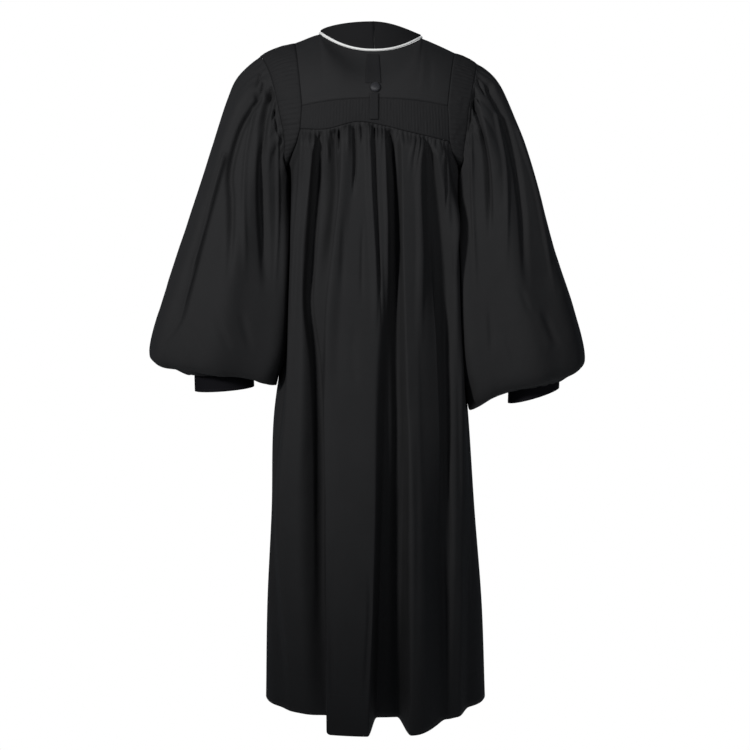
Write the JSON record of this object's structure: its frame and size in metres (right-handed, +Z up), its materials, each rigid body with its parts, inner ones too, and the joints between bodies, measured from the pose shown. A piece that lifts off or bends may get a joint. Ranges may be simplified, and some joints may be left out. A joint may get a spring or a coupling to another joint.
{
  "type": "clergy robe",
  "caption": "Full-length black clergy robe, hollow as worn, with a back yoke over a fluted band, gathered back, full cuffed sleeves, white neck piping, strap, tab and covered button.",
  "frame": {"origin": "between the two points where the neck seam crosses the shoulders", "axes": "+X towards the wearer's right, +Y towards the wearer's front, +Z up along the robe; the back faces -Y"},
  "size_m": [0.8811, 0.3772, 1.3871],
  "materials": {
    "black_cloth": "matte black polyester cloth",
    "white_piping": "white covered cord",
    "button_cloth": "black cloth stretched over a button, slight sheen"
  },
  "bodies": {
    "root": {"back_yoke": "black_cloth", "back_fluting": "black_cloth", "back": "black_cloth", "front_left": "black_cloth", "front_right": "black_cloth", "front_fly": "black_cloth", "sleeve_head_left": "black_cloth", "sleeve_head_right": "black_cloth", "sleeve_left": "black_cloth", "sleeve_right": "black_cloth", "cuff_left": "black_cloth", "cuff_right": "black_cloth", "neckband_left": "black_cloth", "neckband_right": "black_cloth", "neck_piping": "white_piping", "back_strap": "black_cloth", "back_tab": "black_cloth", "back_button": "button_cloth"}
  },
  "joints": []
}
